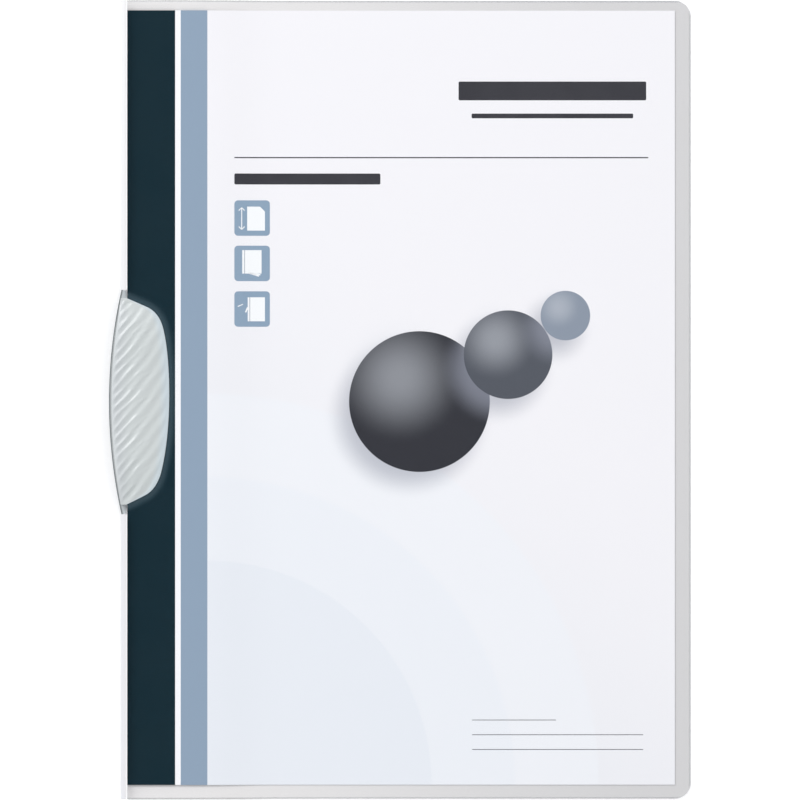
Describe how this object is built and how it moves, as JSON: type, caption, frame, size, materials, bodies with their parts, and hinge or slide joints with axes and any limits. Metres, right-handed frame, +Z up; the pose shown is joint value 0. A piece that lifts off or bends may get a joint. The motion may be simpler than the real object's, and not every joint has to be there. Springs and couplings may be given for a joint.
{
  "type": "clip folder",
  "caption": "A4 clip folder: a folded plastic film with a clear front cover, and a rippled clip at the spine that swings out to take or free the sheets.",
  "frame": {"origin": "middle of the underside of the closed folder, on the table it lies on", "axes": "+X from the fold to the open edge, +Y to the top edge of the sheets, +Z up out of the front cover"},
  "size_m": [0.2232, 0.306, 0.0068],
  "materials": {
    "back_film": "translucent satin polypropylene film",
    "sheet": "smooth printed paper",
    "rivet": "milky plastic",
    "clear_film": "clear glossy film",
    "clip_base": "milky matt plastic",
    "clip_jaw": "milky satin plastic with slanting ripples"
  },
  "bodies": {
    "folder": {"back_cover": "back_film", "title_sheet": "sheet", "pivot_rivet": "rivet"},
    "cover": {"front_cover": "clear_film"},
    "clip": {"clip_base": "clip_base", "clip_jaw": "clip_jaw"}
  },
  "joints": [
    {"name": "cover_hinge", "type": "hinge", "parent": "folder", "child": "cover", "pos_m": [-0.10463, 0, 0.006], "axis": [0, -1, 0], "range_deg": [0, 170]},
    {"name": "clip_swing", "type": "hinge", "parent": "folder", "child": "clip", "pos_m": [-0.10163, 0.0444, 0], "axis": [0, 0, -1], "range_deg": [0, 30]}
  ]
}
